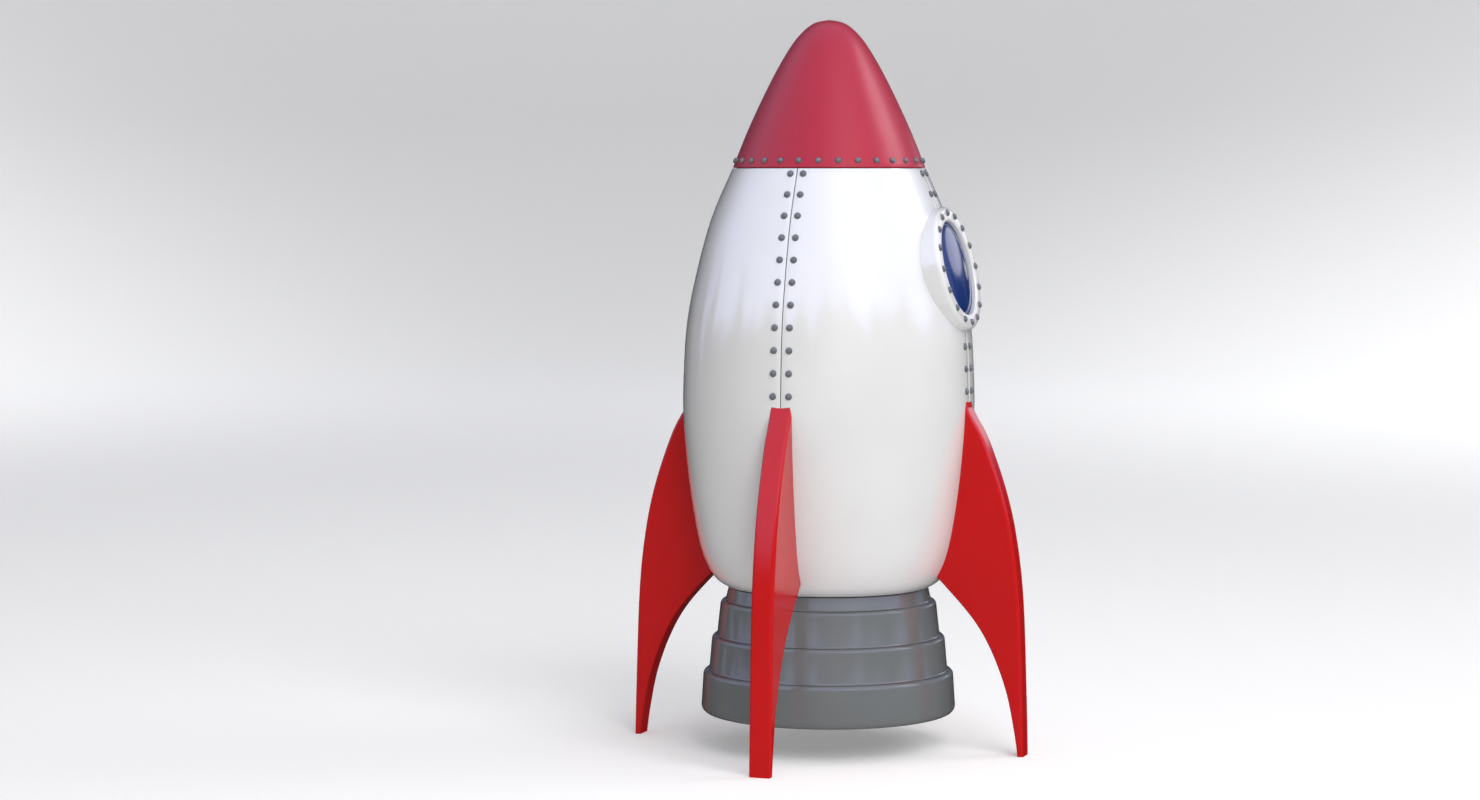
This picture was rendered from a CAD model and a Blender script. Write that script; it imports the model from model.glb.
import math
import bpy
from mathutils import Matrix, Vector


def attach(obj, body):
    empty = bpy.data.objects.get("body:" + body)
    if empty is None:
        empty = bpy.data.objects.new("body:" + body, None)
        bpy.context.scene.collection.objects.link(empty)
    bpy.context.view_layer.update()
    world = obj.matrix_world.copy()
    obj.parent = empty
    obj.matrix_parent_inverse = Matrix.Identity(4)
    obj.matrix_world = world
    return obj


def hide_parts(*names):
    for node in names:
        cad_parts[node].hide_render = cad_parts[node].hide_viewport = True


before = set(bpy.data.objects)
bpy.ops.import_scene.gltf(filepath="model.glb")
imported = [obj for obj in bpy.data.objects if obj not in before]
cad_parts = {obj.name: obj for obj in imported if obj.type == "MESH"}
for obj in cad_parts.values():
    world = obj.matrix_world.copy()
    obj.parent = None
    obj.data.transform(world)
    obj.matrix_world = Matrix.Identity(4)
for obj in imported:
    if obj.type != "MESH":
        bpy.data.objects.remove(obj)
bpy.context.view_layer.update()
mm = 0.001
quarter = math.pi / 2
upsideDown = Matrix.Rotation(math.pi, 4, "X")
print("frame loaded,", len(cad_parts), "nodes")


# ways of working

def clearSelection():
    if bpy.context.mode != "OBJECT":
        bpy.ops.object.mode_set(mode="OBJECT")
    bpy.ops.object.select_all(action="DESELECT")


def pick(piece):
    clearSelection()
    piece.select_set(True)
    bpy.context.view_layer.objects.active = piece


def modify(piece, kind, **settings):
    pick(piece)
    modifier = piece.modifiers.new(kind.title(), kind)
    for key, value in settings.items():
        setattr(modifier, key, value)
    bpy.ops.object.modifier_apply(modifier=modifier.name)


def breakEdges(piece, width, segments=2):    # a small round on the sharp edges
    modify(piece, "BEVEL", width=width * mm, segments=segments, limit_method="ANGLE",
           angle_limit=math.radians(60))


def cutWith(piece, cutter, operation="DIFFERENCE", keepCutter=True):
    modify(piece, "BOOLEAN", object=cutter, operation=operation, solver="EXACT")
    if not keepCutter:
        bpy.data.objects.remove(cutter)


def selectWhere(piece, element, test):    # element is "vertices", "edges" or "faces"; ends in edit mode
    pick(piece)
    bpy.ops.object.mode_set(mode="EDIT")
    bpy.ops.mesh.select_mode(type={"vertices": "VERT", "edges": "EDGE", "faces": "FACE"}[element])
    bpy.ops.mesh.select_all(action="DESELECT")
    bpy.ops.object.mode_set(mode="OBJECT")
    members = piece.data.polygons if element == "faces" else getattr(piece.data, element)
    for member in members:
        member.select = bool(test(member))
    bpy.ops.object.mode_set(mode="EDIT")


def tidyNormals(piece):
    pick(piece)
    bpy.ops.object.mode_set(mode="EDIT")
    bpy.ops.mesh.select_all(action="SELECT")
    bpy.ops.mesh.remove_doubles(threshold=0.002 * mm)
    bpy.ops.mesh.delete_loose(use_verts=False, use_edges=True, use_faces=False)
    bpy.ops.mesh.select_all(action="SELECT")
    bpy.ops.mesh.normals_make_consistent(inside=False)
    bpy.ops.object.mode_set(mode="OBJECT")


def faceOutwards(piece):    # an open sheet round the axis can come out of the recalculation inside out
    outwards = sum(face.area * face.normal.xy.dot(face.center.xy) for face in piece.data.polygons)
    if outwards < 0:
        pick(piece)
        bpy.ops.object.mode_set(mode="EDIT")
        bpy.ops.mesh.select_all(action="SELECT")
        bpy.ops.mesh.flip_normals()
        bpy.ops.object.mode_set(mode="OBJECT")


def moveTo(piece, matrix):    # the place goes into the mesh, and the object stays at the origin
    piece.matrix_world = matrix
    bpy.context.view_layer.update()
    pick(piece)
    bpy.ops.object.transform_apply(location=True, rotation=True, scale=True)


def copyOf(piece, name):
    copied = piece.copy()
    copied.data = piece.data.copy()
    copied.name = name
    bpy.context.collection.objects.link(copied)
    return copied


def joinPieces(base, others):
    clearSelection()
    for other in others:
        other.select_set(True)
    base.select_set(True)
    bpy.context.view_layer.objects.active = base
    bpy.ops.object.join()
    return base


def smoothLine(points, steps):    # a curve through all the points, with so many steps between each two
    line = []
    last = len(points) - 1
    for i in range(last):
        before, start = Vector(points[max(i - 1, 0)]), Vector(points[i])
        end, after = Vector(points[i + 1]), Vector(points[min(i + 2, last)])
        startSlope = (end - before) * 0.5
        endSlope = (after - start) * 0.5
        for step in range(steps):
            t = step / steps
            cubic = 2 * start - 2 * end + startSlope + endSlope
            square = 3 * end - 3 * start - 2 * startSlope - endSlope
            line.append(tuple(cubic * t ** 3 + square * t ** 2 + startSlope * t + start))
    line.append(tuple(points[last]))
    return line


def movedOff(line, distance):    # the line moved to its left by a distance
    moved = []
    for i, (r, z) in enumerate(line):
        ahead = Vector(line[min(i + 1, len(line) - 1)]) - Vector(line[max(i - 1, 0)])
        ahead.normalize()
        moved.append((r - ahead.y * distance, z + ahead.x * distance))
    return moved


def partOf(line, foot, top):    # the part of a falling line between two heights
    part = []
    for (r1, z1), (r2, z2) in zip(line, line[1:]):
        for height in (top, foot):
            if z1 > height >= z2:
                share = (z1 - height) / (z1 - z2)
                part.append((r1 + (r2 - r1) * share, height))
        if foot < z2 < top:
            part.append((r2, z2))
    return part


def arc(centre, radius, fromAngle, toAngle, steps):    # points of a round corner, angles in degrees
    points = []
    for step in range(steps + 1):
        angle = math.radians(fromAngle + (toAngle - fromAngle) * step / steps)
        points.append((centre[0] + radius * math.cos(angle), centre[1] + radius * math.sin(angle)))
    return points


def drawLine(name, points, closed=False):    # points are (x, z) or (x, y, z), in millimetres
    places = [Vector((p[0], 0, p[1]) if len(p) == 2 else p) * mm for p in points]
    clearSelection()
    bpy.ops.mesh.primitive_plane_add(size=mm, location=(0, 0, 0))
    piece = bpy.context.active_object
    piece.name = name
    bpy.ops.object.mode_set(mode="EDIT")
    bpy.ops.mesh.select_mode(type="VERT")
    bpy.ops.mesh.select_all(action="SELECT")
    bpy.ops.mesh.merge(type="CENTER")
    bpy.ops.transform.translate(value=places[0])
    for start, end in zip(places, places[1:]):
        bpy.ops.mesh.extrude_region_move(TRANSFORM_OT_translate={"value": end - start})
    bpy.ops.object.mode_set(mode="OBJECT")
    if closed:
        uses = [index for edge in piece.data.edges for index in edge.vertices]
        selectWhere(piece, "vertices", lambda vertex: uses.count(vertex.index) == 1)
        bpy.ops.mesh.edge_face_add()
        bpy.ops.object.mode_set(mode="OBJECT")
    return piece


# a profile turned about the upright axis
def spun(name, points, steps=96, angle=2 * math.pi, closed=True):
    piece = drawLine(name, points, closed)
    pick(piece)
    bpy.ops.object.mode_set(mode="EDIT")
    bpy.ops.mesh.select_all(action="SELECT")
    bpy.ops.mesh.spin(steps=steps, angle=-angle, center=(0, 0, 0), axis=(0, 0, 1))    # spins clockwise
    bpy.ops.object.mode_set(mode="OBJECT")
    tidyNormals(piece)
    return piece


def finish(piece, look, body, slot, *nodes, smoothUnder=40):
    pick(piece)
    bpy.ops.object.shade_smooth_by_angle(angle=math.radians(smoothUnder))
    piece.data.materials.clear()
    piece.data.materials.append(look)
    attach(piece, body)
    if nodes:
        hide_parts(*nodes)
    return piece


# finishes

def newLook(name, color, roughness, metallic=0.0):
    look = bpy.data.materials.new(name)
    look.use_nodes = True
    shader = look.node_tree.nodes["Principled BSDF"]
    shader.inputs["Base Color"].default_value = (*color, 1)
    shader.inputs["Roughness"].default_value = roughness
    shader.inputs["Metallic"].default_value = metallic
    return look


def addNoise(look, scale, detail=3.0, stretch=(1, 1, 1)):
    nodes, links = look.node_tree.nodes, look.node_tree.links
    place = nodes.new("ShaderNodeTexCoord")
    mapping = nodes.new("ShaderNodeMapping")
    mapping.inputs["Scale"].default_value = stretch
    noise = nodes.new("ShaderNodeTexNoise")
    noise.inputs["Scale"].default_value = scale
    noise.inputs["Detail"].default_value = detail
    links.new(place.outputs["Object"], mapping.inputs["Vector"])
    links.new(mapping.outputs["Vector"], noise.inputs["Vector"])
    return noise.outputs["Fac"]


def varyRoughness(look, source, low, high):
    nodes, links = look.node_tree.nodes, look.node_tree.links
    spread = nodes.new("ShaderNodeMapRange")
    spread.inputs["From Min"].default_value = 0.3
    spread.inputs["From Max"].default_value = 0.7
    spread.inputs["To Min"].default_value = low
    spread.inputs["To Max"].default_value = high
    links.new(source, spread.inputs["Value"])
    links.new(spread.outputs["Result"], nodes["Principled BSDF"].inputs["Roughness"])


def varyColor(look, source, first, second):
    nodes, links = look.node_tree.nodes, look.node_tree.links
    ramp = nodes.new("ShaderNodeValToRGB")
    ramp.color_ramp.elements[0].position = 0.35
    ramp.color_ramp.elements[0].color = (*first, 1)
    ramp.color_ramp.elements[1].position = 0.65
    ramp.color_ramp.elements[1].color = (*second, 1)
    links.new(source, ramp.inputs["Fac"])
    links.new(ramp.outputs["Color"], nodes["Principled BSDF"].inputs["Base Color"])


def addBump(look, source, strength, height):
    nodes, links = look.node_tree.nodes, look.node_tree.links
    bump = nodes.new("ShaderNodeBump")
    bump.inputs["Strength"].default_value = strength
    bump.inputs["Distance"].default_value = height
    links.new(source, bump.inputs["Height"])
    links.new(bump.outputs["Normal"], nodes["Principled BSDF"].inputs["Normal"])


# stoved paint with a faint orange peel
def enamel(name, color, roughness, coat=0.0, peel=0.05, metallic=0.0):
    look = newLook(name, color, roughness, metallic)
    shader = look.node_tree.nodes["Principled BSDF"]
    shader.inputs["Coat Weight"].default_value = coat
    shader.inputs["Coat Roughness"].default_value = roughness * 0.7
    varyColor(look, addNoise(look, 26, detail=2), tuple(c * 0.97 for c in color), color)
    varyRoughness(look, addNoise(look, 45, detail=2), roughness * 0.94, roughness * 1.06)
    addBump(look, addNoise(look, 600, detail=1), peel, 0.03 * mm)
    return look


def bareMetal(name, color, roughness, metallic=0.85, grain=(1, 1, 14)):    # fine grain and dulling
    look = newLook(name, color, roughness, metallic)
    dulling = addNoise(look, 260, detail=4)
    varyColor(look, dulling, tuple(c * 0.85 for c in color), tuple(c * 1.12 for c in color))
    varyRoughness(look, dulling, roughness * 0.85, roughness * 1.15)
    addBump(look, addNoise(look, 900, detail=3, stretch=grain), 0.12, 0.03 * mm)
    return look


looks = {
    "white": enamel("whiteEnamel", (0.75, 0.75, 0.75), 0.18, coat=0.6, metallic=0.18),
    "noseRed": enamel("noseRedEnamel", (0.37, 0.008, 0.025), 0.34, coat=0.2, metallic=0.05),
    "finRed": enamel("finRedEnamel", (0.47, 0.003, 0.004), 0.15, coat=0.1),
    "grey": enamel("greyEnamel", (0.145, 0.155, 0.16), 0.20, coat=0.3, metallic=0.1),
    "rivet": bareMetal("rivetSteel", (0.17, 0.18, 0.19), 0.40, metallic=0.4),
    "tin": bareMetal("bareTin", (0.45, 0.46, 0.46), 0.35),
    "screw": bareMetal("screwSteel", (0.42, 0.43, 0.44), 0.30),
    "lens": enamel("blueLens", (0.005, 0.028, 0.16), 0.12, coat=0.4, peel=0.01),
    "dish": enamel("blueEnamel", (0.006, 0.012, 0.08), 0.35),
    "rubber": enamel("greyRubber", (0.45, 0.47, 0.50), 0.55, peel=0.2),
}
print("finishes made:", len(looks))


# hull: four pressed panels with an open seam line between them
hull = {
    "profile": [(50.4, 302.9), (61.6, 276.5), (69.8, 246), (74.4, 220.7), (76.1, 192), (76, 172),
                (73.6, 144), (70, 119), (66, 101.5), (59.8, 89.3), (53.2, 84.6)],
    "lip": (48, 84.3),
    "lipBend": 3.5,
    "sheet": 0.8,
    "seamGap": 0.5,
    "edgeRound": 0.1,
    "stepsPerQuarter": 36,
    "stepsPerPoint": 5,
    "aboveMouth": 12,    # how far the cutter reaches up
    "clearance": 0.06,    # to the pieces that stand on the outside
}
hullLine = smoothLine(hull["profile"], hull["stepsPerPoint"])
window = {
    "faceRadius": 70.9, "faceHeight": 251.9, "tilt": math.radians(13.5),
    "outer": 32.5, "opening": 24.7, "sleeve": 27, "sheet": 0.9, "depth": 13.4, "skirt": 18,
    "corner": 2.2, "lipRound": 0.8, "lipDepth": 2.4, "turnOver": 1.6, "clearance": 0.4,
    "rivetCircle": 28.9, "rivets": 16, "head": 1.75, "headHeight": 1.4,
    "lens": -2.6, "dome": 2.5, "steps": 96,
}
windowPlace = (Matrix.Translation(Vector((0, -window["faceRadius"], window["faceHeight"])) * mm)
               @ Matrix.Rotation(quarter - window["tilt"], 4, "X"))


def windowRod(radius, length, sides):    # on the window's axis, to cut with
    clearSelection()
    bpy.ops.mesh.primitive_cylinder_add(vertices=sides, radius=radius * mm, depth=length * mm)
    rod = bpy.context.active_object
    moveTo(rod, windowPlace)
    return rod


def hullBody(grow):    # the hull as one solid, to cut the pieces that sit against it
    side = movedOff(hullLine, grow)
    top = side[0][1] + hull["aboveMouth"]
    points = [(0, top), (side[0][0], top), *side, (0, side[-1][1])]
    return spun("hullCutter", points, steps=4 * hull["stepsPerQuarter"], closed=False)


def makePanel():
    lip = [(hull["lip"][0] + hull["lipBend"], hull["lip"][1]), hull["lip"]]
    panel = spun("panel", hullLine + lip, steps=hull["stepsPerQuarter"], angle=quarter, closed=False)
    gap = hull["seamGap"] / 2 * mm
    for side in ((1, 0, 0), (0, 1, 0)):
        selectWhere(panel, "faces", lambda face: True)
        bpy.ops.mesh.bisect(plane_co=Vector(side) * gap, plane_no=side, clear_inner=True)
        bpy.ops.object.mode_set(mode="OBJECT")
    tidyNormals(panel)
    faceOutwards(panel)
    modify(panel, "SOLIDIFY", thickness=hull["sheet"] * mm, offset=-1, use_even_offset=True)
    breakEdges(panel, hull["edgeRound"])
    return panel


panel = makePanel()
windowHole = windowRod(window["sleeve"] + window["clearance"], 60, window["steps"])
for k in range(4):
    piece = copyOf(panel, f"hullPanel{k + 1}")
    moveTo(piece, Matrix.Rotation(k * quarter, 4, "Z"))
    if k >= 2:
        cutWith(piece, windowHole)
    finish(piece, looks["white"], "rocket", "white_tin", f"hull_panel_{k + 1}")
bpy.data.objects.remove(windowHole)
bpy.data.objects.remove(panel)
print("hull panels made")


# rivets: a domed head, and a smaller and flatter tail on the inside
rivetShape = {
    "rim": 0.15, "rings": 10, "headSides": 16,
    "tailSides": 10, "tailWidth": 0.8, "tailHeight": 0.5,    # parts of the head's own
}


def makeRivet(name, radius, height, sides=rivetShape["headSides"]):
    rim = rivetShape["rim"]
    clearSelection()
    bpy.ops.mesh.primitive_uv_sphere_add(segments=sides, ring_count=rivetShape["rings"], radius=radius * mm)
    rivet = bpy.context.active_object
    rivet.name = name
    selectWhere(rivet, "faces", lambda face: True)
    bpy.ops.mesh.bisect(plane_co=(0, 0, 0), plane_no=(0, 0, 1), clear_inner=True)
    bpy.ops.mesh.select_all(action="SELECT")
    bpy.ops.transform.resize(value=(1, 1, (height - rim) / radius), center_override=(0, 0, 0))
    bpy.ops.transform.translate(value=(0, 0, rim * mm))
    bpy.ops.object.mode_set(mode="OBJECT")
    selectWhere(rivet, "vertices", lambda vertex: vertex.co.z < (rim + 0.01) * mm)
    bpy.ops.mesh.edge_face_add()
    bpy.ops.mesh.extrude_region_move(TRANSFORM_OT_translate={"value": (0, 0, -rim * mm)})
    bpy.ops.object.mode_set(mode="OBJECT")
    tidyNormals(rivet)
    return rivet


def makeTail(name, size):
    radius = size["head"] * rivetShape["tailWidth"]
    height = size["headHeight"] * rivetShape["tailHeight"]
    return makeRivet(name, radius, height, sides=rivetShape["tailSides"])


def riveted(base, rivet, places):
    copies = []
    for place in places:
        copied = copyOf(rivet, "rivetCopy")
        moveTo(copied, place)
        copies.append(copied)
    return joinPieces(base, copies)


# seam straps, with two columns of rivets each
seam = {
    "strapWidth": 13, "strapThickness": 0.8, "strapGap": 0.12, "strapRound": 0.2, "strapSteps": 6,
    "top": 301.3, "foot": 97,
    "rows": 11, "firstRow": 3, "rowPitch": 11.55, "columnTop": 3.4, "columnBottom": 4.2,
    "head": 1.8, "headHeight": 1.4, "windowTop": 284, "windowFoot": 219,
}


def pointAlong(line, distance):    # a point at a distance from the line's start, and the way it runs there
    for start, end in zip(line, line[1:]):
        step = Vector(end) - Vector(start)
        if distance <= step.length:
            return Vector(start) + step * (distance / step.length), step.normalized()
        distance -= step.length
    return Vector(line[-1]), step.normalized()


def onHull(distance, sideways, inwards=0.0):    # stands on the hull beside the seam at +X, Z pointing out
    point, run = pointAlong(hullLine, distance)
    angle = math.asin(sideways / point.x)
    upright = Matrix.Rotation(math.atan2(-run.y, run.x), 4, "Y")
    out = Matrix.Translation(Vector((point.x, 0, point.y)) * mm)
    return Matrix.Rotation(angle, 4, "Z") @ out @ upright @ Matrix.Translation((0, 0, -inwards * mm))


def rivetPlaces(rows):
    places = []
    for row in rows:
        column = seam["columnTop"] + (seam["columnBottom"] - seam["columnTop"]) * row / (seam["rows"] - 1)
        for side in (-1, 1):
            places.append((seam["firstRow"] + row * seam["rowPitch"], side * column))
    return places


def makeStrap(name, foot, top, rows):
    outer = hull["sheet"] + seam["strapGap"]
    line = partOf(movedOff(hullLine, -outer), foot, top)
    widest = max(r for r, z in hull["profile"])
    half = math.asin(seam["strapWidth"] / 2 / widest)
    strap = spun(name, line, steps=seam["strapSteps"], angle=2 * half, closed=False)
    moveTo(strap, Matrix.Rotation(-half, 4, "Z"))
    faceOutwards(strap)
    modify(strap, "SOLIDIFY", thickness=seam["strapThickness"] * mm, offset=-1)
    breakEdges(strap, seam["strapRound"])
    heads = [onHull(distance, sideways) for distance, sideways in rivetPlaces(rows)]
    through = outer + seam["strapThickness"]
    tails = [onHull(distance, sideways, through) @ upsideDown for distance, sideways in rivetPlaces(rows)]
    riveted(strap, seamHead, heads)
    return riveted(strap, seamTail, tails)


seamHead = makeRivet("seamHead", seam["head"], seam["headHeight"])
seamTail = makeTail("seamTail", seam)
allRows = range(seam["rows"])
straps = {
    "right": (seam["foot"], seam["top"], allRows, 0),    # foot, top, rows of rivets, quarter turns
    "back": (seam["foot"], seam["top"], allRows, 1),
    "left": (seam["foot"], seam["top"], allRows, 2),
    "front_upper": (seam["windowTop"], seam["top"], range(2), 3),
    "front_lower": (seam["foot"], seam["windowFoot"], range(8, 11), 3),
}
for side, (foot, top, rows, turns) in straps.items():
    strap = makeStrap(f"seamStrap_{side}", foot, top, rows)
    moveTo(strap, Matrix.Rotation(turns * quarter, 4, "Z"))
    finish(strap, looks["rivet"], "rocket", "rivet_steel", f"seam_strap_{side}")
bpy.data.objects.remove(seamHead)
bpy.data.objects.remove(seamTail)
print("seam straps made")


# nose cone and its collar
nose = {
    "profile": [(50.15, 303.4), (42.3, 322.9), (32.6, 343.7), (24.3, 359.3), (16.7, 370.7), (8.6, 377.9),
                (0, 380)],
    "sheet": 0.8, "edgeRound": 0.15, "stepsPerPoint": 6, "steps": 120,
    "rivets": 30, "rivetHeight": 306.9, "head": 1.6, "headHeight": 1.3,
    "tailDepth": 1.75,    # through the cone and the collar
}
collarSize = {
    "sheet": 0.8, "gap": 0.15, "plug": 48.2, "foot": 290.9, "straightTop": 302.2, "top": 313.5,
    "leadIn": (0.5, 0.8),    # how much narrower the foot is, and over what height
    "bend": 0.6,    # the cone is followed from this much outside the plug
}
noseLine = smoothLine(nose["profile"], nose["stepsPerPoint"])
cone = spun("noseCone", noseLine, steps=nose["steps"], closed=False)
faceOutwards(cone)
modify(cone, "SOLIDIFY", thickness=nose["sheet"] * mm, offset=-1, use_even_offset=True)
breakEdges(cone, nose["edgeRound"])
finish(cone, looks["noseRed"], "nose", "nose_red", "nose_cone")

plug, plugFoot = collarSize["plug"], collarSize["foot"]
inside = [p for p in movedOff(noseLine, nose["sheet"] + collarSize["gap"]) if p[1] < collarSize["top"]]
inside = [p for p in inside if p[0] < plug + collarSize["bend"]]
narrower, leadHeight = collarSize["leadIn"]
collarLine = [(plug - narrower, plugFoot), (plug, plugFoot + leadHeight), (plug, plugFoot + 10),
              (plug, collarSize["straightTop"]), *inside]
collar = spun("noseCollar", collarLine, steps=nose["steps"], closed=False)
faceOutwards(collar)
modify(collar, "SOLIDIFY", thickness=collarSize["sheet"] * mm, offset=-1)
noseHead = makeRivet("noseHead", nose["head"], nose["headHeight"])
noseTail = makeTail("noseTail", nose)


def onNose(turn, inwards=0.0):
    below = max(i for i, p in enumerate(noseLine) if p[1] <= nose["rivetHeight"])
    start, end = Vector(noseLine[below]), Vector(noseLine[below + 1])
    run = (end - start).normalized()
    point = start + (end - start) * ((nose["rivetHeight"] - start.y) / (end.y - start.y))
    upright = Matrix.Rotation(math.atan2(run.y, -run.x), 4, "Y")
    out = Matrix.Translation(Vector((point.x, 0, point.y)) * mm)
    return Matrix.Rotation(turn, 4, "Z") @ out @ upright @ Matrix.Translation((0, 0, -inwards * mm))


noseTurns = [k * 2 * math.pi / nose["rivets"] for k in range(nose["rivets"])]
riveted(collar, noseHead, [onNose(turn) for turn in noseTurns])
riveted(collar, noseTail, [onNose(turn, nose["tailDepth"]) @ upsideDown for turn in noseTurns])
finish(collar, looks["rivet"], "nose", "rivet_steel", "nose_collar")
bpy.data.objects.remove(noseHead)
bpy.data.objects.remove(noseTail)
print("nose made")


# window
def makeDrum():
    outer, opening, wall, skirt = window["outer"], window["opening"], window["sheet"], window["skirt"]
    sleeve, depth, lip = window["sleeve"], window["depth"], window["lipDepth"]
    corner, lipRound, turnedOver = window["corner"], window["lipRound"], sleeve + window["turnOver"]
    points = [(outer, -skirt), *arc((outer - corner, -corner), corner, 0, 90, 8),
              *arc((opening + lipRound, -lipRound), lipRound, 90, 180, 5),
              (opening, -lip), (sleeve - wall, -lip), (sleeve - wall, -depth), (turnedOver, -depth),
              (turnedOver, -depth + wall), (sleeve, -depth + wall), (sleeve, wall - lip),
              (opening + wall, wall - lip), (opening + wall, -wall), (outer - corner, -wall),
              *arc((outer - corner, -corner), corner - wall, 90, 0, 4), (outer - wall, -skirt)]
    shell = spun("portholeDrum", points, steps=window["steps"])
    moveTo(shell, windowPlace)
    return shell


# only the outer wall is trimmed to the hull, so the cutter keeps clear of the sleeve
drum = makeDrum()
cutter = hullBody(hull["clearance"])
sleeveRoom = windowRod(window["sleeve"] + 2.6, 80, 64)
cutWith(cutter, sleeveRoom, keepCutter=False)
cutWith(drum, cutter, keepCutter=False)
finish(drum, looks["white"], "rocket", "white_tin", "porthole_drum")

wall = window["sheet"]
ringOuter, ringInner = window["outer"] - window["corner"], window["sleeve"] + window["clearance"]
ring = spun("portholeRivetRing", [(ringInner, -wall - 0.1), (ringOuter, -wall - 0.1),
                                  (ringOuter, -2 * wall), (ringInner, -2 * wall)], steps=window["steps"])
windowHead = makeRivet("windowHead", window["head"], window["headHeight"])
circle = []
for k in range(window["rivets"]):
    angle = k * 2 * math.pi / window["rivets"]
    out = Vector((math.sin(angle), math.cos(angle), 0))
    circle.append(Matrix.Translation(out * window["rivetCircle"] * mm))
riveted(ring, windowHead, circle)
moveTo(ring, windowPlace)
finish(ring, looks["rivet"], "rocket", "rivet_steel", "porthole_rivet_ring")
bpy.data.objects.remove(windowHead)


glazing = {
    "edgeGap": 0.12, "lensSheet": 1.2, "flatRim": 2.2, "domeSteps": 20,
    "backingDrop": 2.9, "backingSheet": 0.8,
    "gasketDrop": 1.4, "gasketHeight": 1.3, "gasketWidth": 1.8, "gasketRound": 0.3,
}
lensEdge = window["sleeve"] - wall - glazing["edgeGap"]


def dish(name, rim, rise, thickness):    # a bulging dome with a flat rim
    reach = lensEdge - glazing["flatRim"]
    front = []
    for step in range(glazing["domeSteps"] + 1):
        turn = step / glazing["domeSteps"] * quarter
        front.append((reach * math.cos(turn), rim + rise * math.sin(turn)))
    back = [(r, z - thickness) for r, z in reversed(front)]
    points = [(lensEdge, rim), *front, *back, (lensEdge, rim - thickness)]
    piece = spun(name, points, steps=window["steps"])
    moveTo(piece, windowPlace)
    return piece


lens = dish("portholeLens", window["lens"], window["dome"], glazing["lensSheet"])
finish(lens, looks["lens"], "rocket", "blue_lens", "porthole_lens")
backingRim = window["lens"] - glazing["backingDrop"]
backing = dish("portholeBacking", backingRim, -window["dome"], glazing["backingSheet"])
finish(backing, looks["dish"], "rocket", "blue_tin", "porthole_backing")
gasketTop = window["lens"] - glazing["gasketDrop"]
gasketFoot, gasketInner = gasketTop - glazing["gasketHeight"], lensEdge - glazing["gasketWidth"]
gasket = spun("portholeGasket", [(lensEdge, gasketTop), (lensEdge, gasketFoot), (gasketInner, gasketFoot),
                                 (gasketInner, gasketTop)], steps=window["steps"])
moveTo(gasket, windowPlace)
breakEdges(gasket, glazing["gasketRound"], segments=3)
finish(gasket, looks["rubber"], "rocket", "grey_rubber", "porthole_gasket")

clampSize = {"gap": 0.1, "reach": 4, "chamfer": 0.6}
clampBack = -window["depth"] + wall + clampSize["gap"]
clampInner, clampOuter = window["sleeve"] + window["clearance"], window["sleeve"] + clampSize["reach"]
clampLine = [(clampInner, 0), (clampOuter, 0), (clampOuter, clampBack + clampSize["chamfer"]),
             (clampOuter - clampSize["chamfer"], clampBack), (clampInner, clampBack)]
clamp = spun("portholeClampRing", clampLine, steps=window["steps"])
moveTo(clamp, windowPlace)
cutWith(clamp, hullBody(-hull["sheet"] - clampSize["gap"]), "INTERSECT", keepCutter=False)
finish(clamp, looks["tin"], "rocket", "bare_tin", "porthole_clamp_ring")
print("window made")


# fins
fin = {
    "outer": [(76.2, 183), (77, 180), (79.6, 175), (86.2, 163), (95.2, 138), (101, 113.5), (105, 80),
              (107, 26), (107.5, 0)],
    "inner": [(60, 92.6), (79.4, 72), (90.1, 55), (98.3, 33.9), (102.8, 12.8), (104.6, 0)],
    "thickness": 11.8, "top": 183, "core": 50, "sheet": 0.9, "cavityFoot": 5,
    "outerRound": 2, "footRound": 1.5, "innerRound": 0.9, "roundSegments": 6,
    "taperTop": 40,    # below this height the outer rounding narrows to the foot's
    "outerSteps": 5, "innerSteps": 6,
}


def finBlock(name, outline, wall):    # an outline in the plane of the fin, given its thickness
    half = fin["thickness"] / 2 - wall
    block = drawLine(name, [(r, -half, z) for r, z in outline], closed=True)
    selectWhere(block, "vertices", lambda vertex: True)
    bpy.ops.mesh.edge_face_add()
    bpy.ops.mesh.extrude_region_move(TRANSFORM_OT_translate={"value": (0, 2 * half * mm, 0)})
    bpy.ops.mesh.select_all(action="SELECT")
    bpy.ops.mesh.normals_make_consistent(inside=False)
    bpy.ops.object.mode_set(mode="OBJECT")
    return block


def roundEdges(block, outline, outerCount):    # the first points of the outline are the fin's outer edge
    order = {(round(r, 3), round(z, 3)): i for i, (r, z) in enumerate(outline)}
    weights = block.data.attributes.new("bevel_weight_edge", "FLOAT", "EDGE")
    for edge, weight in zip(block.data.edges, weights.data):
        start, end = (block.data.vertices[v].co / mm for v in edge.vertices)
        if start.y * end.y < 0:    # across the fin's thickness
            continue
        if all(order[(round(p.x, 3), round(p.z, 3))] < outerCount for p in (start, end)):
            low, high = fin["footRound"], fin["outerRound"]
            weight.value = min(1, (low + (high - low) * min(start.z, end.z) / fin["taperTop"]) / high)
        else:
            weight.value = fin["innerRound"] / fin["outerRound"]
    modify(block, "BEVEL", width=fin["outerRound"] * mm, segments=fin["roundSegments"],
           limit_method="WEIGHT", use_clamp_overlap=False)


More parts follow.
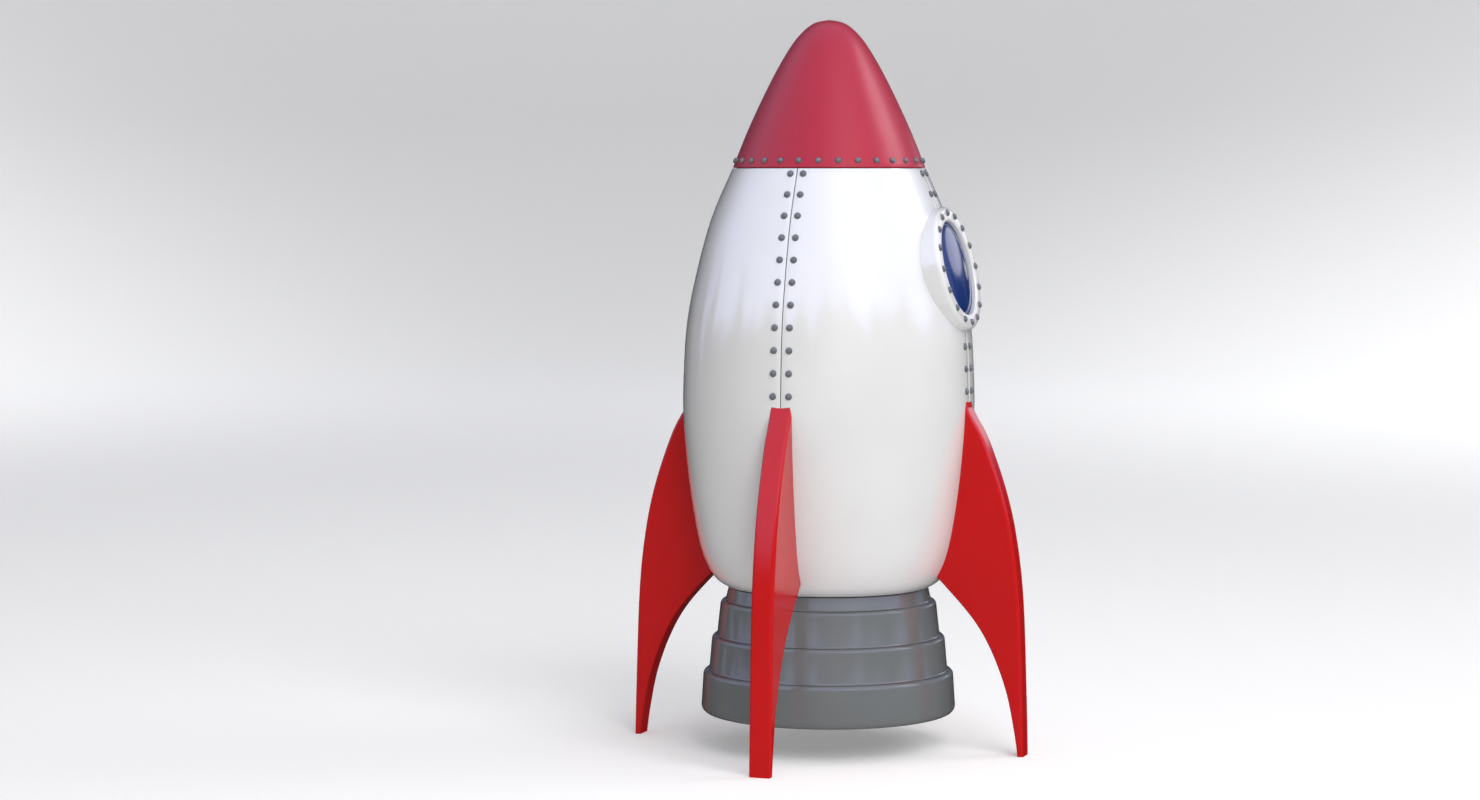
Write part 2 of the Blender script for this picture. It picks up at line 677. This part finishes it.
# no short steps by the top corner
outerEdge = fin["outer"][:1] + smoothLine(fin["outer"], fin["outerSteps"])[fin["outerSteps"]:]
innerEdge = smoothLine(fin["inner"], fin["innerSteps"])
root = [(fin["core"], innerEdge[0][1]), (fin["core"], fin["top"])]
finOutline = outerEdge + innerEdge[::-1] + root
finShell = finBlock("finShell", finOutline, 0)
roundEdges(finShell, finOutline, len(outerEdge))
cavityOuter = [p for p in movedOff(outerEdge, -fin["sheet"]) if p[1] > fin["cavityFoot"]]
cavityInner = [p for p in movedOff(innerEdge, fin["sheet"]) if p[1] > fin["cavityFoot"]]
cavityRoot = [(fin["core"], cavityInner[0][1]), (fin["core"], cavityOuter[0][1])]
cavity = finBlock("finCavity", cavityOuter + cavityInner[::-1] + cavityRoot, fin["sheet"])
cutWith(finShell, cavity, keepCutter=False)
cutWith(finShell, hullBody(hull["clearance"]), keepCutter=False)
for k in range(4):
    shell = copyOf(finShell, f"finShell{k + 1}")
    moveTo(shell, Matrix.Rotation(k * quarter, 4, "Z"))
    finish(shell, looks["finRed"], "rocket", "red_tin", f"fin_{k + 1}_shell")
    modify(shell, "WEIGHTED_NORMAL", keep_sharp=True, weight=60)
bpy.data.objects.remove(finShell)
print("fins made")


# nozzle bell
bell = {
    "sheet": 1.0, "steps": 128, "roll": 3.6, "rollSheet": 0.9, "rollTurn": 80, "leastCorner": 0.2,
    "turnOut": [(-0.1, 1), (0.12, 0.45), (0.7, 0)],    # the foot of a tier spreads on to the one below
}
tiers = {
    "nozzle_neck": {
        "top": 84, "flange": 40, "shoulder": 52.5, "foot": 53.85,
        "bottom": 77.15, "corner": 0.5,
    },
    "nozzle_tier_2": {
        "top": 77, "flange": 46, "shoulder": 56.75, "foot": 58.5,
        "bottom": 58.75, "corner": 2.3,
    },
    "nozzle_tier_3": {
        "top": 58.6, "flange": 50, "shoulder": 61.25, "foot": 62.65,
        "bottom": 40.45, "corner": 2.3,
    },
    "nozzle_tier_4": {
        "top": 40.3, "flange": 54, "shoulder": 65.75, "foot": 66.75,
        "bottom": 21.6, "corner": 2.6,
    },
}


def makeTier(name, top, flange, shoulder, foot, bottom, corner):
    wall, roll = bell["sheet"], bell["roll"]
    lean = math.degrees(math.atan2(foot - shoulder, top - corner - bottom))
    bend = (shoulder - corner, top - corner)
    outside = [(flange, top), *arc(bend, corner, 90, lean, 8)]
    if name == "nozzle_tier_4":    # rolled hem
        middle, turn = (foot - roll, bottom), bell["rollTurn"]
        outside.append((foot, bottom))
        hem = [*arc(middle, roll, 0, -turn, 8), *arc(middle, roll - bell["rollSheet"], -turn, 0, 6)]
    else:
        outside += [(foot + out, bottom + up) for out, up in bell["turnOut"]]
        hem = [(foot - wall, bottom)]
    innerCorner = arc(bend, max(corner - wall, bell["leastCorner"]), lean, 90, 5)
    return spun(name, outside + hem + innerCorner + [(flange, top - wall)], steps=bell["steps"])


for name, size in tiers.items():
    tier = makeTier(name, **size)
    tier.name = "nozzle" + name.split("_", 1)[1].replace("_", "").capitalize()
    finish(tier, looks["grey"], "rocket", "grey_tin", name, smoothUnder=50)
print("nozzle made")


# floor of the hull and the screws
floor = {
    "top": 86.7, "sheet": 1, "middle": 30, "beadCircle": 40, "beadRound": 2.2, "beadFoot": 3.5, "steps": 96,
    "rim": [(50.6, 0), (51, 0.6), (51.1, 3), (52, 3), (52, -0.2), (51.4, -1)],    # heights from the top
}
floorTop, floorUnder = floor["top"], floor["top"] - floor["sheet"]
bead = [(floor["beadCircle"] + floor["beadFoot"], floorTop),
        *arc((floor["beadCircle"], floorTop), floor["beadRound"], 0, 180, 8),
        (floor["beadCircle"] - floor["beadFoot"], floorTop)]
floorPoints = [(0, floorTop), (floor["middle"], floorTop), *bead[::-1],
               *((r, floorTop + up) for r, up in floor["rim"]),
               *((r, z - floor["sheet"]) for r, z in bead), (floor["middle"], floorUnder), (0, floorUnder)]
floorPiece = spun("hullFloor", floorPoints, steps=floor["steps"])
finish(floorPiece, looks["tin"], "rocket", "bare_tin", "hull_floor")

screw = {
    "head": 2.7, "headHeight": 1.7, "headRound": 1.1, "shank": 1.25, "length": 7.4, "tip": 0.6, "sides": 32,
    "slotWidth": 0.7, "slotDepth": 1.5,
    "circle": 44, "seatGap": 0.05, "turn": 0.7,    # no two slots point the same way
}


def makeScrew():    # pan head down the Z axis: the head lies below zero and the shank above it
    head, height, shank = screw["head"], screw["headHeight"], screw["shank"]
    corner, length, tip = screw["headRound"], screw["length"], screw["tip"]
    dome = [(r, -z) for r, z in arc((head - corner, height - corner), corner, 0, 90, 6)]
    points = [(0, length), (shank * tip, length), (shank, length - tip), (shank, 0.0), (head, 0.0), *dome,
              (0, -height)]
    piece = spun("screw", points, steps=screw["sides"], closed=False)
    clearSelection()
    bpy.ops.mesh.primitive_cube_add(size=1, location=(0, 0, -height * mm))
    slot = bpy.context.active_object
    slot.scale = (3 * head * mm, screw["slotWidth"] * mm, screw["slotDepth"] * mm)
    pick(slot)
    bpy.ops.object.transform_apply(location=True, rotation=True, scale=True)
    cutWith(piece, slot, keepCutter=False)
    return piece


screwPiece = makeScrew()
for k in range(4):
    angle = (2 * k + 1) * math.pi / 4
    x, y = screw["circle"] * math.cos(angle), screw["circle"] * math.sin(angle)
    place = Matrix.Translation(Vector((x, y, floorTop + screw["seatGap"])) * mm)
    piece = copyOf(screwPiece, f"nozzleScrew{k + 1}")
    moveTo(piece, place @ upsideDown @ Matrix.Rotation(screw["turn"] * k, 4, "Z"))
    finish(piece, looks["screw"], "rocket", "screw_steel", f"nozzle_screw_{k + 1}")
bpy.data.objects.remove(screwPiece)

for name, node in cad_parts.items():
    if "root_bar" in name or ("fin_" in name and "_screw_" in name):
        node.data.materials.clear()
        node.data.materials.append(looks["tin" if "bar" in name else "screw"])
print("floor and screws made")


# studio: a round pale floor that sweeps up, open above
studio = {
    "flat": 3200, "sweep": 1400, "rim": 1900, "color": (0.88, 0.88, 0.88), "roughness": (0.85, 0.95),
    "floorGlow": 0.22, "wallGlow": 0.11, "glowHeight": 0.4,    # the height in metres
}
sweepLine = [(0, 0), (studio["flat"] / 2, 0)]
sweepLine += arc((studio["flat"], studio["sweep"]), studio["sweep"], -90, 0, 16)
sweepLine += [(studio["flat"] + studio["sweep"], studio["rim"])]
backdrop = spun("studioFloor", sweepLine, steps=96, closed=False)
pick(backdrop)
bpy.ops.object.shade_smooth()
paper = newLook("palePaper", studio["color"], 0.9)
varyRoughness(paper, addNoise(paper, 3), *studio["roughness"])
# a little light of its own, stronger on the floor, softens the deepest shadow
paperNodes, paperLinks = paper.node_tree.nodes, paper.node_tree.links
paperPlace, paperHeight, glow = (paperNodes.new(kind) for kind in
                                 ("ShaderNodeTexCoord", "ShaderNodeSeparateXYZ", "ShaderNodeMapRange"))
glow.inputs["From Max"].default_value = studio["glowHeight"]
glow.inputs["To Min"].default_value = studio["floorGlow"]
glow.inputs["To Max"].default_value = studio["wallGlow"]
paperShader = paperNodes["Principled BSDF"]
paperShader.inputs["Emission Color"].default_value = (1, 1, 1, 1)
paperLinks.new(paperPlace.outputs["Object"], paperHeight.inputs["Vector"])
paperLinks.new(paperHeight.outputs["Z"], glow.inputs["Value"])
paperLinks.new(glow.outputs["Result"], paperShader.inputs["Emission Strength"])
backdrop.data.materials.append(paper)
backdrop.visible_glossy = False    # gloss shows the sky's own bands instead

view = {
    "place": (-1.6656, -0.5575, 0.3003), "towards": (0.93743, 0.34161, -0.06732),
    "lens": 81.67, "sensor": 36,    # these two in millimetres
}
cameraPlace = Vector(view["place"])
fromFront = Matrix.Rotation(math.atan2(cameraPlace.y, cameraPlace.x) + quarter, 3, "Z")


def placeLight(kind, name, place, target, power, color, glossy=False, diffuse=True, **settings):
    # place and target are seen from the front: X right, Y away, Z up
    data = bpy.data.lights.new(name, kind)
    data.energy = power
    data.color = color
    for key, value in settings.items():
        setattr(data, key, value)
    light = bpy.data.objects.new(name, data)
    place, target = fromFront @ Vector(place), fromFront @ Vector(target)
    light.location = place
    light.rotation_euler = (target - place).to_track_quat("-Z", "Y").to_euler()
    light.visible_camera = False
    light.visible_glossy = glossy
    light.visible_diffuse = diffuse
    bpy.context.collection.objects.link(light)


middle = (0, 0, 0.2)    # of the rocket
white = (1, 1, 1)
placeLight("AREA", "keyLight", (0.9, -1.9, 1.7), middle, 41, (1.0, 0.99, 0.98), size=1.6)
placeLight("AREA", "lowLight", (0.3, -2.2, 0.5), middle, 8, white, size=0.9)
placeLight("AREA", "topLight", (0.5, -0.3, 2.4), (0.5, -0.3, 0), 8, white, size=1.4)
placeLight("AREA", "softbox", (1.8, 0.3, 1.5), middle, 7, (1.0, 0.98, 0.97), glossy=True, size=0.9)
# two cards that only gloss shows
placeLight("AREA", "lensCard", (1.26, 1.77, 0.62), middle, 0.62, (0.92, 0.9, 1.0), glossy=True,
           diffuse=False, shape="ELLIPSE", size=0.62, size_y=0.34)
placeLight("AREA", "warmCard", (1.04, 1.93, 0.4), middle, 0.03, (1.0, 0.92, 0.78), glossy=True,
           diffuse=False, shape="DISK", size=0.07)
# pools of light on the backdrop
for name, x, power in (("wallRight", 1.5, 180), ("wallLeft", -2.1, 150)):
    placeLight("SPOT", name, (x, 2.6, 2.8), (x, 2.7, 0), power, white,
               spot_size=math.radians(76), spot_blend=1.0, shadow_soft_size=0.3)

# the room gives an even light; what gloss shows of it is a bright upper band over a dim lower one
sky = {
    "even": (0.28, 0.28, 0.285), "high": (0.86, 0.94, 1.45), "low": (0.16, 0.16, 0.16),
    "lean": 0.117, "edge": 0.163, "blur": 0.04, "ragged": 0.8,    # the edge is lower on the far side
    "patchScale": 6, "patchDetail": 2, "patchStretch": (1, 1, 0.2), "patchPlace": (0.7, 0.2, 0),
    "farFrom": 0.2, "farTo": 0.85, "farShade": 0.12,    # straight beyond the rocket it is dim
}
world = bpy.data.worlds.new("studioSky")
world.use_nodes = True
skyNodes, skyLinks = world.node_tree.nodes, world.node_tree.links
direction = skyNodes.new("ShaderNodeTexCoord")
height = skyNodes.new("ShaderNodeVectorMath")
height.operation = "DOT_PRODUCT"
away = fromFront @ Vector((0, 1, 0))
height.inputs[1].default_value = (away.x * sky["lean"], away.y * sky["lean"], 1)
upright = skyNodes.new("ShaderNodeMapping")
upright.inputs["Scale"].default_value = sky["patchStretch"]
upright.inputs["Location"].default_value = sky["patchPlace"]
patches = skyNodes.new("ShaderNodeTexNoise")
patches.inputs["Scale"].default_value = sky["patchScale"]
patches.inputs["Detail"].default_value = sky["patchDetail"]
raggedEdge = skyNodes.new("ShaderNodeMath")
raggedEdge.operation = "MULTIPLY_ADD"
raggedEdge.inputs[1].default_value = sky["ragged"]
bands = skyNodes.new("ShaderNodeMapRange")
bands.interpolation_type = "SMOOTHSTEP"
middleEdge = sky["edge"] + sky["ragged"] / 2
bands.inputs["From Min"].default_value = middleEdge - sky["blur"]
bands.inputs["From Max"].default_value = middleEdge + sky["blur"]
tint = skyNodes.new("ShaderNodeMix")
tint.data_type = "RGBA"
tint.inputs["A"].default_value = (*sky["low"], 1)
tint.inputs["B"].default_value = (*sky["high"], 1)
beyond = skyNodes.new("ShaderNodeVectorMath")
beyond.operation = "DOT_PRODUCT"
beyond.inputs[1].default_value = away
dimming = skyNodes.new("ShaderNodeMapRange")
dimming.interpolation_type = "SMOOTHSTEP"
dimming.inputs["From Min"].default_value = sky["farFrom"]
dimming.inputs["From Max"].default_value = sky["farTo"]
dimming.inputs["To Min"].default_value = 1
dimming.inputs["To Max"].default_value = sky["farShade"]
glossSky, mixSky, ray = (skyNodes.new(kind) for kind in
                         ("ShaderNodeBackground", "ShaderNodeMixShader", "ShaderNodeLightPath"))
skyNodes["Background"].inputs["Color"].default_value = (*sky["even"], 1)
skyLinks.new(direction.outputs["Generated"], height.inputs[0])
skyLinks.new(direction.outputs["Generated"], upright.inputs["Vector"])
skyLinks.new(upright.outputs["Vector"], patches.inputs["Vector"])
skyLinks.new(patches.outputs["Fac"], raggedEdge.inputs[0])
skyLinks.new(height.outputs["Value"], raggedEdge.inputs[2])
skyLinks.new(raggedEdge.outputs["Value"], bands.inputs["Value"])
skyLinks.new(bands.outputs["Result"], tint.inputs["Factor"])
skyLinks.new(tint.outputs["Result"], glossSky.inputs["Color"])
skyLinks.new(direction.outputs["Generated"], beyond.inputs[0])
skyLinks.new(beyond.outputs["Value"], dimming.inputs["Value"])
skyLinks.new(dimming.outputs["Result"], glossSky.inputs["Strength"])
skyLinks.new(ray.outputs["Is Glossy Ray"], mixSky.inputs["Fac"])
skyLinks.new(skyNodes["Background"].outputs["Background"], mixSky.inputs[1])
skyLinks.new(glossSky.outputs["Background"], mixSky.inputs[2])
skyLinks.new(mixSky.outputs["Shader"], skyNodes["World Output"].inputs["Surface"])
bpy.context.scene.world = world
bpy.context.scene.view_settings.view_transform = "Standard"

cameraData = bpy.data.cameras.new("camera")
cameraData.lens = view["lens"]
cameraData.sensor_width = view["sensor"]
camera = bpy.data.objects.new("camera", cameraData)
camera.location = cameraPlace
camera.rotation_euler = Vector(view["towards"]).to_track_quat("-Z", "Y").to_euler()
bpy.context.collection.objects.link(camera)
bpy.context.scene.camera = camera
print("studio and camera set")
